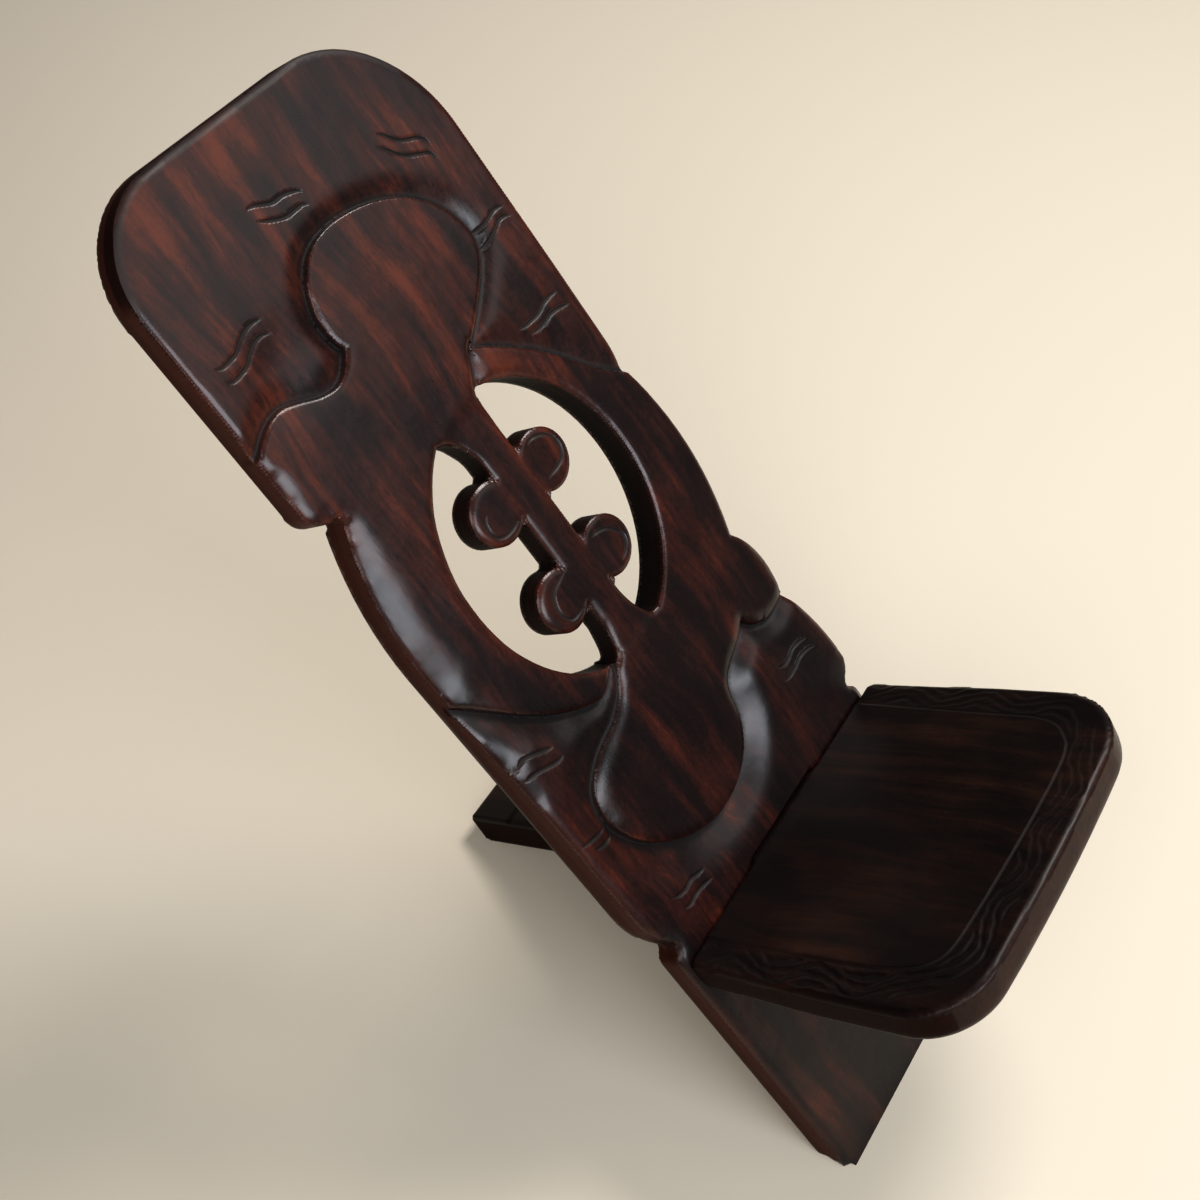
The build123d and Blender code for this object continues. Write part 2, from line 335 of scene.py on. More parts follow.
# %% Helpers: distances to a line
def near(points, line):
    """Distance from each point to the nearest point of a line, and which point that is."""
    tree = kdtree.KDTree(len(line))
    for i, p in enumerate(line):
        tree.insert((p[0], p[1], 0), i)
    tree.balance()
    found = [tree.find((x, y, 0)) for x, y in points[:, :2]]
    return np.array([f[2] for f in found]), np.array([f[1] for f in found])


def beside(points, line, facing):
    """How far each point lies in front of a line of walls, and which of its points is nearest."""
    gap, which = near(points, line)
    side = ((points[:, :2] - line[which]) * facing[which]).sum(1)
    return gap, side, which


# %% [markdown]
# Where the spine runs into the ring, the walls of the solid are rounded, and the lines have
# gaps. A few points across each gap, in millimetres across and up the board, close it with a
# smooth curve. Each runs so that the open hole lies on its left.

# %% Close the gaps at the spine's ends
def curve_through(points, step=0.5 * mm):
    """A smooth line through points given in millimetres, as points half a millimetre apart."""
    p = np.array(points, float) * mm
    p = np.vstack((2 * p[0] - p[1], p, 2 * p[-1] - p[-2]))
    made = []
    for a, b, c, d in zip(p, p[1:], p[2:], p[3:]):
        count = max(2, int(np.linalg.norm(c - b) / step))
        t = np.linspace(0, 1, count, endpoint=False)[:, None]
        bend = (2 * a - 5 * b + 4 * c - d) * t**2 + (3 * b - a - 3 * c + d) * t**3
        made.append(0.5 * (2 * b + (c - a) * t + bend))
    return np.vstack(made + [p[-2:-1]])


def sideways(line):
    """The direction to the left of a line at each of its points."""
    heading = np.gradient(line, axis=0)
    heading /= np.linalg.norm(heading, axis=1)[:, None]
    return np.stack((-heading[:, 1], heading[:, 0]), 1)


def join(line, facing, stretches):
    """Adds drawn stretches to a line of walls."""
    for stretch in stretches:
        drawn = curve_through(stretch)
        line, facing = np.vstack((line, drawn)), np.vstack((facing, sideways(drawn)))
    return line, facing


hole_corners = [
    [(-24, 440.2), (-20.5, 441), (-18, 443.4), (-16.6, 446.8)]
    + [(-15.2, 451), (-13.8, 458), (-12.8, 463), (-12.5, 468)],
    [(17, 466), (18.3, 460), (20, 455), (21.5, 451.5)],
    [(24.7, 445.2), (28, 442.2), (33.5, 441.3)],
    [(-17, 630), (-20.5, 637), (-27, 643.5), (-35, 647.5)],
    [(24.5, 655.5), (21, 653.5), (18.6, 650), (17.6, 645), (16.6, 638), (15.8, 631), (15.5, 626)],
]
edge_line, edge_facing = join(edge_line, edge_facing, hole_corners)
print("edges now", len(edge_line), "points")

# %% [markdown]
# Squares can't follow a sawn edge exactly, which leaves it wavy. So on the uncut board, whose
# top is flat, every point of the top corner goes up into the face, and the points beside a
# sawn edge slide onto its true line. The corners of the head's back and of the leg are
# softened instead, because years of hands have rounded them. The foot is left out of it,
# because it still stands flat on the floor.

# %% Soften and true the edges
def pick(piece, chosen, kind="FACE"):
    """Goes to edit mode with only the chosen faces or vertices selected."""
    alone(piece)
    bpy.ops.object.mode_set(mode="EDIT")
    bpy.ops.mesh.select_mode(type=kind)
    bpy.ops.mesh.select_all(action="DESELECT")
    bpy.ops.object.mode_set(mode="OBJECT")
    parts = piece.data.polygons if kind == "FACE" else piece.data.vertices
    parts.foreach_set("select", chosen)
    bpy.ops.object.mode_set(mode="EDIT")


def smooth(piece, chosen, rounds):
    """Draws the chosen points towards their neighbours, so many times."""
    pick(piece, chosen, "VERT")
    bpy.ops.mesh.vertices_smooth(factor=0.5, repeat=rounds)
    bpy.ops.object.mode_set(mode="OBJECT")


def wear(piece, place, rounds, chosen=True):
    """Softens the chosen edges, but not those that stand on the floor."""
    off_floor = 1.2 * mm
    turn = np.array(place.to_3x3())
    height = points_of(piece) @ turn.T[:, 2] + place.translation.z
    smooth(piece, (height > off_floor) & chosen, rounds)


def on_ring(points):
    """True for the points between the seat and the head."""
    return (points[:, 1] > carved_fully) & (points[:, 1] < ring_top)


def true_edges(piece, line, facing, grain, lowest):
    """Slides the points of a sawn edge onto its line, and its top corner into the flat face."""
    co = points_of(piece)
    gap, side, which = beside(co, line, facing)
    flat, off_flat = 0.02 * grain, 0.9 * grain
    corner = (co[:, 2] > -off_flat) & (co[:, 2] < -flat) & (co[:, 1] > carved_fully)
    above_back = co[:, 2] - back_level(co)
    ring_part = on_ring(co) & (piece == carved_back)
    back_corner = ring_part & (above_back < off_flat) & (above_back > flat)
    slides = (corner | back_corner) & (np.abs(side) < 1.05 * grain) & (gap < 1.4 * grain)
    on_wall = (co[:, 2] <= -off_flat) & (above_back >= off_flat)
    on_wall &= (co[:, 2] > lowest) | ring_part
    slides |= on_wall & (np.abs(side) < 0.6 * grain) & (gap < 0.8 * grain)
    co[:, :2] -= facing[which] * (side * slides)[:, None]
    co[corner, 2] = 0
    co[back_corner, 2] = back_level(co)[back_corner]
    put_points(piece, co)


soft_below, trued_above = -board_thickness + 6 * mm, -board_thickness + 4 * mm
co = points_of(carved_back)
soft_side = (co[:, 2] < soft_below) & ~on_ring(co) | (co[:, 1] < carved_fully)
wear(carved_back, back_place, 2, soft_side)
true_edges(carved_back, edge_line, edge_facing, grain, trued_above)
print("softened", carved_back.name)

# %% [markdown]
# The chair is seldom looked at from behind, and its back is plain, as is the leg under the
# seat. So the small squares of both are merged into larger triangles, and the fine ones are
# kept for the carved face.

# %% Coarser squares on the plain back
def coarsen(piece, chosen, share):
    """Merges the chosen faces until about this share of their triangles is left."""
    before = len(piece.data.polygons)
    pick(piece, chosen)
    bpy.ops.mesh.decimate(ratio=share)
    bpy.ops.object.mode_set(mode="OBJECT")
    print(piece.name, "from", before, "to", len(piece.data.polygons), "faces")


flush = 0.4 * mm
centre, normal = centres_of(carved_back)
coarsen(carved_back, (centre[:, 2] < back_level(centre) + flush) & (normal[:, 2] < -0.99), 0.07)

leg_top, kept_rim = 215 * mm, 12 * mm
centre, normal = centres_of(carved_back)
inner = near(centre, edge_line)[0] > kept_rim
coarsen(carved_back, inner & (centre[:, 1] < leg_top) & (np.abs(centre[:, 2]) < flush), 0.1)

# %% [markdown]
# The other cuts are lines drawn with a small V-gouge: pairs of short waves all over the ground,
# and a crescent on each knob. Each is written as a few points on the board, in millimetres
# across and up, and a smooth curve is laid through them. Three short stretches of the figure's
# outline are drawn the same way, where its step runs out on the solid: both sides of the neck,
# and the inner corner of the bump.

# %% Lines cut one by one
wave_pairs = [
    [(-40, 841), (-33, 840), (-27, 837), (-20, 834)]
    + [(-12, 833.5), (-5, 831.5), (0, 829), (3, 826)],
    [(-39, 832), (-32, 828), (-25, 824.5), (-18, 822), (-10, 821.5), (-4, 821), (1, 818)],
    [(76, 823), (81, 818), (84, 814), (88, 810), (94, 806.5)]
    + [(100, 804), (104, 801), (107, 797), (107.5, 793)],
    [(70, 816), (75, 811), (80, 804.5), (86, 799), (92, 796), (98, 793), (103, 790), (107, 783)],
    [(-126, 784), (-122, 781.5), (-114, 781.5), (-107, 782.5)]
    + [(-100, 786), (-93, 788.5), (-86, 789), (-78, 787)],
    [(-126, 774), (-122, 771), (-114, 771), (-107, 772)]
    + [(-100, 776), (-93, 779), (-86, 779.5), (-79, 776.5)],
    [(94, 731), (100, 730), (107, 730), (114, 731.5), (121, 732.5), (128, 730)],
    [(91, 719), (98, 718.5), (105, 720), (112, 722.5), (119, 725), (125, 724), (130, 721)],
    [(77, 661), (84, 659.5), (92, 659), (100, 659), (108, 661), (116, 661.5), (124, 660)],
    [(84, 652), (92, 651), (100, 651), (108, 652), (116, 651), (122, 649), (127, 647)],
    [(-139, 452), (-133, 453.5), (-127, 452), (-120, 448), (-113, 444), (-107, 441)],
    [(-141, 441.5), (-132, 440), (-122, 436), (-113, 432), (-106, 431)],
    [(-140, 375), (-134, 373), (-127, 370), (-119, 367), (-113, 366)],
    [(-133, 365), (-127, 361), (-120, 358), (-113, 357)],
    [(-110, 288), (-104, 284), (-96, 282), (-88, 283), (-80, 280), (-73, 278)],
    [(-107, 273), (-100, 271), (-92, 272), (-84, 271), (-73, 268)],
    [(89, 325), (96, 321), (104, 321), (112, 323), (121, 322), (130, 318)],
    [(87, 312), (94, 310.5), (104, 311), (114, 313), (124, 311.5), (133, 307)],
]
knob_crescents = [
    [(-17, 569), (-26, 568.5), (-33, 569), (-39, 572), (-42, 578), (-41, 585), (-36, 590)],
    [(-14, 518), (-20, 517), (-26, 516), (-32, 513), (-36, 506)]
    + [(-37, 500), (-35, 494), (-30, 489.5), (-16, 488.5)],
    [(25, 601), (32, 601.5), (38, 599.5), (43, 596), (47, 590)]
    + [(47.5, 583), (44, 576), (37, 573.5), (23, 572.5)],
    [(22, 518.5), (30, 517.5), (38, 513.5), (43, 507)]
    + [(46, 501), (45, 495), (40, 490.5), (32, 488)],
]
wave_cuts = [curve_through(line) for line in wave_pairs]
crescent_cuts = [curve_through(line) for line in knob_crescents]

# each stretch runs so that the ground lies on its left
drawn_stretches = [
    [(38, 681), (33, 677), (27, 668), (22, 660), (19, 652), (18, 645)],
    [(-54, 413.3), (-46, 416.5), (-39, 421), (-34, 426), (-29, 432)]
    + [(-24.5, 438), (-20, 444.5), (-16, 452), (-13.5, 460)],
    [(-33, 442), (-38, 438), (-44, 434.6), (-50, 433.2)],
    [(108, 359.3), (102, 361.3), (97, 365), (93, 370), (89.3, 375.2)],
]
redrawn_boxes = [((-52, -24), (417, 443)), ((90, 107), (358, 377))]
for (left, right), (low, high) in redrawn_boxes:
    u, s = figure_line[:, 0] / mm, figure_line[:, 1] / mm
    kept = (u < left) | (u > right) | (s < low) | (s > high)
    figure_line, figure_facing = figure_line[kept], figure_facing[kept]
figure_line, figure_facing = join(figure_line, figure_facing, drawn_stretches)

# where two stretches meet in a corner, its points face between them
close = np.linalg.norm(figure_line[:, None] - figure_line[None], axis=2) < 2 * mm
figure_facing = close @ figure_facing
figure_facing /= np.linalg.norm(figure_facing, axis=1)[:, None]
print(len(wave_cuts), "wave cuts and", len(crescent_cuts), "crescents")

# %% [markdown]
# A cut three millimetres wide needs squares smaller than itself. So the squares near each line
# are split in four, and near the thin cuts and the figure's outline twice. A step is clean only
# if its crest is, so the points beside the outline slide onto it.

# %% Helpers: finer squares
def refine(piece, line, width, lowest):
    """Splits the squares of the upper face that lie within a width of a line."""
    centre, normal = centres_of(piece)
    distance = near(centre, line)[0]
    pick(piece, (distance < width) & (centre[:, 2] > lowest) & (normal[:, 2] > 0.3))
    bpy.ops.mesh.subdivide(number_cuts=1)
    bpy.ops.object.mode_set(mode="OBJECT")


def slide_onto(piece, line, facing, reach):
    """Slides the points beside a line onto it."""
    co = points_of(piece)
    gap, side, which = beside(co, line, facing)
    slides = (np.abs(side) < reach) & (gap < 2.5 * reach) & (co[:, 2] > -2 * mm)
    co[:, :2] -= facing[which] * (side * slides)[:, None]
    put_points(piece, co)


# %% Finer squares along the cuts
every_cut = np.vstack(wave_cuts + crescent_cuts + [figure_line])
just_below = -2 * mm
refine(carved_back, every_cut, 4.6 * mm, just_below)
refine(carved_back, edge_line, 3.4 * mm, just_below)
refine(carved_back, edge_line[edge_line[:, 1] > carved_fully], 1.5 * mm, just_below)
refine(carved_back, every_cut, 2.0 * mm, just_below)
slide_onto(carved_back, figure_line, figure_facing, grain / 8)
print("carved_back now has", len(carved_back.data.polygons), "faces")

# %% [markdown]
# The carver's forms change along each edge: the ring's left arm is broad and round, and its
# right arm is nearly flat. So sizes are written at stations beside the edges, and every point
# of an edge takes the sizes of the stations near it. At the figure's outline these are the
# width and depth of the figure's rounded lip, the width and depth of the ground cut away
# beside it, and how hollow that ground is. At a board's edge they are the width and depth of
# its rounding.

# %% Sizes along the edges, in millimetres
outline_stations = [
    # across, up, lip width, lip depth, ground width, ground depth, hollowness
    (-130, 728, 4, 1.2, 18, 5.0, 0.5),
    (-95, 733, 4, 1.0, 20, 5.5, 0.5),
    (-68, 724, 4, 1.0, 20, 5.5, 0.5),
    (-46, 742, 5, 1.6, 14, 7.0, 0.5),
    (-48, 762, 6, 2.0, 15, 7.5, 0.5),
    (-35, 786, 2.5, 0.6, 15, 6.0, 0.5),
    (0, 799, 2, 0.4, 14, 4.5, 0.3),
    (35, 793, 2, 0.4, 15, 5.0, 0.3),
    (65, 779, 2.5, 0.6, 18, 5.5, 0.3),
    (93, 738, 3, 1.2, 24, 6.5, 0),
    (70, 701, 4, 1.5, 14, 4.5, 0),
    (27, 668, 5, 1.8, 16, 3.4, 0),
    (60, 658, 2.5, 1.0, 20, 5.5, 0),
    (110, 607, 2.5, 1.0, 22, 5.5, 0),
    (-140, 507, 4, 1.5, 30, 9.0, 0.6),
    (-100, 461, 5, 1.5, 32, 9.5, 0.6),
    (-60, 436, 5, 1.6, 30, 8.5, 0.6),
    (-38, 438, 5, 1.8, 20, 6.5, 0.3),
    (-18, 447, 8, 2.8, 14, 5.0, 0.3),
    (-32, 428, 9, 3.0, 20, 5.0, 0.3),
    (-50, 415, 11, 3.3, 26, 5.5, 0.6),
    (-80, 405, 15, 4.0, 28, 6.5, 0.6),
    (-107, 380, 17, 4.0, 30, 8.0, 0.6),
    (-104, 350, 12, 2.8, 34, 10.0, 0.8),
    (-85, 322, 9, 2.2, 34, 10.5, 1),
    (-50, 299, 8, 2.0, 36, 11.0, 1.2),
    (0, 298, 9, 2.2, 34, 10.5, 1.5),
    (35, 325, 9, 2.6, 32, 10.5, 2),
    (46, 352, 9, 2.8, 30, 10.5, 2.2),
    (70, 366, 10, 3.0, 26, 9.0, 1.6),
    (90, 374, 12, 3.2, 24, 8.0, 1),
    (115, 358, 12, 3.4, 22, 7.5, 1),
    (133, 362, 10, 3.0, 20, 6.0, 1),
]
edge_stations = [
    # across, up, width, depth
    (-143, 860, 4, 1.8),
    (-143, 800, 4, 1.8),
    (-143, 760, 6, 2.4),
    (-143, 722, 8, 3.0),
    (-142, 705, 14, 4.6),
    (-136, 682, 9, 3.0),
    (-122, 665, 5, 1.8),
    (-126, 655, 18, 5.5),
    (-134, 635, 25, 7.4),
    (-146, 600, 31, 8.5),
    (-146, 540, 31, 8.0),
    (-146, 518, 20, 6.4),
    (-143, 495, 28, 7.0),
    (-143, 465, 34, 8.5),
    (-143, 440, 16, 4.5),
    (-143, 400, 6, 2.4),
    (-143, 310, 7, 2.6),
    (-130, 258, 6, 2.0),
    (-138, 120, 6, 2.2),
    (-80, 900, 5, 3.8),
    (0, 896, 5, 3.8),
    (90, 880, 4, 2.2),
    (137, 780, 4, 1.5),
    (137, 700, 4, 1.5),
    (134, 585, 4, 1.4),
    (144, 505, 5, 1.8),
    (128, 428, 5, 2.0),
    (142, 385, 9, 3.2),
    (138, 360, 7, 2.6),
    (150, 300, 6, 2.4),
    (146, 150, 6, 2.2),
    # the ring's hole
    (20, 655, 10, 3.4),
    (45, 644, 9, 3.2),
    (75, 610, 7, 2.8),
    (90, 580, 6, 2.6),
    (96, 540, 5, 2.2),
    (88, 480, 4, 1.6),
    (60, 448, 3, 1.4),
    (30, 438, 5, 2.0),
    (-40, 450, 5, 1.6),
    (-75, 487, 6, 1.6),
    (-89, 540, 8, 1.9),
    (-80, 600, 8, 1.9),
    (-50, 637, 4, 1.3),
    # the spine
    (-12.5, 545, 5, 2.6),
    (-12.5, 615, 4, 2.2),
    (-14, 475, 7, 3.2),
    (15.5, 545, 3, 1.4),
    (17, 620, 3, 1.4),
    (20, 470, 5, 2.2),
    # the knobs
    (-50, 584, 5, 2.8),
    (-28, 607, 5, 2.4),
    (-50, 504, 6, 3.2),
    (-28, 527, 5, 2.4),
    (53, 584, 4, 1.8),
    (53, 504, 4, 1.8),
]


def sizes_along(line, stations):
    """Gives each point of a line the sizes of the stations near it, in metres."""
    stations = np.array(stations, float)
    away = np.linalg.norm(line[:, None] - stations[None, :, :2] * mm, axis=2)
    weight = 1 / (away + 4 * mm) ** 4
    return weight @ stations[:, 2:] / weight.sum(1)[:, None] * mm


outline_sizes = sizes_along(figure_line, outline_stations)
edge_sizes = sizes_along(edge_line, edge_stations)
print("deepest ground", round(outline_sizes[:, 3].max() / mm, 1), "mm")

# %% [markdown]
# Now the carving. Each pass is a depth at every point of the face: the rounding of the board's
# edges, the figure's lip, the ground beside it, two shallow dips, and the V-gouge lines. The
# passes are added up, and the front of the board is pressed down by the sum, so the tops of
# the side walls follow the face. The carving also leaves notes for the finish: which cuts are
# darkened, where shadow and shade are painted in, where the wax has worn off, and which walls
# are the sawn edge of the board.

# %% Helpers: shapes of a cut
def rounding(distance, width):
    """1 at an edge and 0 at a width from it: half a soft slope, half a quarter circle."""
    t = 1 - np.clip(distance / width, 0, 1)
    return 0.55 * t**2 + 0.45 * (1 - np.sqrt(1 - t**2))


def v_cut(points, lines, depth, width):
    """Depth of a cut along each line, shallower towards its two ends."""
    taken = np.zeros(len(points))
    for line in lines:
        distance, which = near(points, line)
        along = which / (len(line) - 1)
        ends = np.sqrt(np.clip(np.minimum(along, 1 - along) * 5, 0.05, 1))
        profile = np.clip(1 - distance / (width * ends / 2), 0, 1) ** 0.8
        taken = np.maximum(taken, depth * ends * profile)
    return taken


def note(piece, name, values):
    """Stores one number per vertex, for the finish to read."""
    layer = piece.data.attributes.new(name, "FLOAT", "POINT")
    layer.data.foreach_set("value", values.astype(np.float32))


def give_way(piece, reach):
    """How far each point follows the face when it is lowered: 1 on it, 0 at a reach below."""
    return np.clip((points_of(piece)[:, 2] + reach) / reach, 0, 1)


def lower(piece, taken):
    """Lowers every point by the depth taken from it."""
    co = points_of(piece)
    co[:, 2] -= taken
    put_points(piece, co)


# %% Carve the main forms of the back board
co = points_of(carved_back)
u, s = co[:, 0] / mm, co[:, 1] / mm
share = give_way(carved_back, 20 * mm)

edge_gap, edge_which = near(co, edge_line)
edge_width, edge_depth = edge_sizes[edge_which].T
taken = edge_depth * rounding(edge_gap, edge_width) * ease(s, 255, 275)

gap, side, which = beside(co, figure_line, figure_facing)
lip_width, lip_depth, ground_width, ground_depth, hollowness = outline_sizes[which].T
hollowness /= mm
outside = ease(from_hole(co), 0.9, 0.96)  # 0 on the spine, which keeps its plain face
on_ground = ease(side, 0, 1.5 * mm) * outside
t = np.clip(1 - gap / ground_width, 0, 1)
ground = ground_depth * t**2 * (1 + hollowness * (1 - t))
lip = lip_depth * rounding(gap * (side < 0), lip_width) * outside
taken += lip + (ground - lip) * on_ground

# the spine lies a little behind the face, and two dips were worn or cut by hand
spine_drop = 0.5 * mm
taken += spine_drop * ease(-from_hole(co), -0.99, -0.9)
dips = [((-90, 757), (28, 22), 3.2), ((-112, 578), (8, 14), 0.7)]
for (across, along), (half_width, half_length), depth in dips:
    away = ((u - across) / half_width) ** 2 + ((s - along) / half_length) ** 2
    taken += depth * mm * np.exp(-away)
lower(carved_back, taken * share)

# the gouge leaves no creases on the open ground, on the ring's broad left edge and at the
# corners by the seat, where the carving ends
open_ground = (side > 2.4 * mm) & (gap < 45 * mm) & (edge_gap > 6 * mm)
open_ground &= (share > 0.5) & (outside > 0.5)
broad_edge = (edge_gap > 3 * mm) & (edge_gap < 40 * mm) & (gap > 3 * mm) & (side < 0)
broad_edge &= (u < -100) & (s > 505) & (s < 674) & (share > 0.5)
by_the_seat = (s > 252) & (s < 286) & (edge_gap < 12 * mm) & (share > 0.2)
smooth(carved_back, open_ground | broad_edge | by_the_seat, 10)

wave_depth, wave_width = 1.7 * mm, 3.6 * mm
crescent_depth, crescent_width = 1.3 * mm, 3.2 * mm
waves = v_cut(co, wave_cuts, wave_depth, wave_width)
crescents = v_cut(co, crescent_cuts, crescent_depth, crescent_width)
lower(carved_back, (waves + crescents) * share)
print("deepest cut", round(float((share * taken).max()) / mm, 1), "mm")

# %% Notes for the finish of the back board
# the cuts are darkened, and a painted shadow lies at the foot of each step
front = share > 0.3
step_shadow_width = 1.5 * mm + 0.45 * ground_depth
step_shadow = ease(side, 0.1 * mm, 0.8 * mm) * outside
step_shadow *= ease(-gap, -1.4 * step_shadow_width, -0.5 * step_shadow_width)
dark_cuts_and_step_shadow = np.clip(waves / (0.6 * mm) + crescents / (0.8 * mm) + 0.95 * step_shadow, 0, 1) * front
note(carved_back, "dark_cuts_and_shadow", dark_cuts_and_step_shadow)

# hands wear the rims
worn = ease(-edge_gap, -5 * mm, -1 * mm) * front * 0.6
worn = np.maximum(worn, (side < 0) * ease(-gap, -3 * mm, 0) * 0.4 * front)
note(carved_back, "worn", np.clip(worn - dark_cuts_and_step_shadow, 0, 1))

# the outer walls are sawn, and painted shade darkens the walls of the ring's hole, the
# crown's rim and the corners by the seat
outside_hole = 1.08
walls = ease(1 - np.abs(normals_of(carved_back)[:, 2]), 0.45, 0.9) * (edge_gap < 7 * mm)
note(carved_back, "edge", walls * (from_hole(co) > outside_hole))
crown_shade = 0.9 * ease(-edge_gap, -7 * mm, -3 * mm) * ease(s, 835, 850)
seat_corner_shade = np.exp(-(((np.abs(u - 2) - 138) / 10) ** 2) - ((s - 264) / 13) ** 2)
painted_shade = np.maximum(crown_shade, seat_corner_shade) * front
note(carved_back, "shade", np.maximum(walls * (from_hole(co) < outside_hole), painted_shade))
print("wax lies on", round(100 * float((dark_cuts_and_step_shadow > 0.5).mean())), "% of the points")


# %% Clean diagonals
def split_squares(piece):
    """Splits every square along its shorter diagonal, which follows the crests of the steps."""
    pick(piece, np.ones(len(piece.data.polygons), bool))
    bpy.ops.mesh.quads_convert_to_tris(quad_method="SHORTEST_DIAGONAL", ngon_method="BEAUTY")
    bpy.ops.object.mode_set(mode="OBJECT")
    print(piece.name, "has", len(piece.data.polygons), "triangles")


split_squares(carved_back)

# %% [markdown]
# The seat board has a border. Outside it the face lies a little lower, and carries a band of
# nested waves, drawn side by side like water. The waves follow the border round the two front
# corners, so each is the border's own line, moved outwards, with a wave added along its
# length, and kept only where it stays inside the band.

# %% A fine copy of the seat board
seat_grain = 2.5 * mm
carved_seat = fine_copy("seat_board", "carved_seat", seat_place, seat_grain)
seat_line, seat_facing = wall_lines("seat_board", seat_place, *edge_heights, True)
in_front = seat_line[:, 1] < -2 * mm
seat_line, seat_facing = seat_line[in_front], seat_facing[in_front]
print("seat's edge", len(seat_line), "points")
wear(carved_seat, seat_place, 2)
true_edges(carved_seat, seat_line, seat_facing, seat_grain, -20 * mm)
centre, normal = centres_of(carved_seat)
seat_thickness = 32 * mm
coarsen(carved_seat, (centre[:, 2] < -seat_thickness + flush) & (normal[:, 2] < -0.99), 0.12)

# %% The border and its waves
border_points = [(-119, -4), (-119, -60), (-118.5, -120), (-117, -150), (-113, -172)]
border_points += [(-106, -187), (-92, -197), (-60, -201), (0, -204), (50, -205), (79, -204)]
border_points += [(94, -201), (102, -196), (110, -189), (116, -180), (119, -168)]
border_points += [(120, -150), (120, -100), (120, -50), (120, -6)]
border = curve_through(border_points, 1 * mm)
outward = -sideways(border)
pieces = np.linalg.norm(np.diff(border, axis=0), axis=1)
length = np.concatenate(([0], np.cumsum(pieces)))

wave_length, wave_height, band_width = 70 * mm, 5.6 * mm, 25 * mm
band_cuts = []
for row in range(6):
    climb = wave_height * np.cos(2 * pi * (length - 68 * mm) / wave_length)
    climb += 1.0 * mm * np.sin(2 * pi * length / (31 * mm) + 1.7 * row)
    climb += 0.5 * mm * np.sin(2 * pi * length / (13 * mm) + 2.9 * row)
    offset = (row * 7.4 - 4) * mm + climb
    kept = (offset > 3 * mm) & (offset < band_width)
    starts = np.flatnonzero(np.diff(np.concatenate(([0], kept.astype(int), [0]))))
    for first, last in zip(starts[::2], starts[1::2]):
        if last - first > 12:
            band_cuts.append((border + outward * offset[:, None])[first:last])
print("border", round(length[-1], 3), "m long,", len(band_cuts), "waves outside it")

# %% Carve the seat board
# beyond the border the face lies lower, and sitting has hollowed its middle
just_below = -3 * mm
refine(carved_seat, np.vstack([border] + band_cuts), 4 * mm, just_below)
refine(carved_seat, border, 2.2 * mm, just_below)
co = points_of(carved_seat)
share = give_way(carved_seat, 16 * mm)
top = ease(normals_of(carved_seat)[:, 2], 0.3, 0.7) * (share > 0.7)
border_gap, border_side = beside(co, border, outward)[:2]
border_side = np.where(border_gap > 60 * mm, -1, border_side)
border_cut = v_cut(co, [border], 0.7 * mm, 3.0 * mm)
left_band = 0.55 + 0.45 * ease(-co[:, 0], 20 * mm, 100 * mm)
band_depth = v_cut(co, band_cuts, 1.2 * mm, 5.2 * mm) * left_band
lowered = 0.9 * mm * ease(border_side, -0.6 * mm, 1.2 * mm)
hollow_middle, hollow_reach = np.array((0, -110)) * mm, np.array((90, 70)) * mm
hollowed = 1.2 * mm * np.exp(-(((co[:, :2] - hollow_middle) / hollow_reach) ** 2).sum(1))
lower(carved_seat, (border_cut + band_depth + lowered + hollowed) * share)
print("seat hollowed by", round(float(hollowed.max()) / mm, 1), "mm")

# %% Notes for the finish of the seat board
# the cuts are darkened, and the rim, the crests of the waves and the tongue's tip are worn;
# the crests are lighter most on the left, partly from wear and partly as a painted highlight
painted_darkening = border_cut / (0.9 * mm) + 0.7 * band_depth / (1.1 * mm)
note(carved_seat, "dark_cuts_and_shadow", top * np.clip(painted_darkening, 0, 1))
in_band = (border_side > 2 * mm) * (border_side < band_width)
crests = in_band * (1 - np.clip(band_depth / (0.6 * mm), 0, 1))
tip = ease(co[:, 1], 375 * mm, 400 * mm) * 0.8
front_wall = ease(-normals_of(carved_seat)[:, 1], 0.5, 0.9)
rim = 0.6 * (1 - near(co, seat_line)[0] / (5 * mm))
rubbed_and_highlit = np.clip(tip + rim + 0.7 * crests * (2 * left_band - 1), 0, 1)
note(carved_seat, "worn", np.maximum(np.maximum(tip, top) * rubbed_and_highlit, front_wall))

# all walls but the front one are sawn, and a painted shadow darkens the corner by the back board
walls = 1 - np.abs(normals_of(carved_seat)[:, 2])
note(carved_seat, "edge", ease(walls, 0.5, 0.95) * (1 - front_wall))
rear_left_shadow = ease(co[:, 1], -110 * mm, -10 * mm) * ease(-co[:, 0], -80 * mm, 110 * mm)
rear_left_shadow *= co[:, 1] < 2 * mm
note(carved_seat, "shade", 0.7 * rear_left_shadow * top)
split_squares(carved_seat)

# %% [markdown]
# The wood is dense and dark, with red-brown streaks along the grain under black wax. Its
# colour is made from noise that is stretched along the board: long streaks, broad patches and
# fine pores. The notes left by the carving make the cuts black, paint shadow at the foot of
# each step and in the seat's corner by the back board, paint shade in the ring's hole, on the
# crown and at the corners by the seat, and make the worn edges redder and smoother. The pattern
# reads object coordinates, turned by each board's lean, and the back board is painted darker
# towards its foot and lighter towards its head, as light falls off down the board. Each board
# has this wood in two finishes: its faces are waxed and mirror the lights, and its sawn walls
# hardly do.

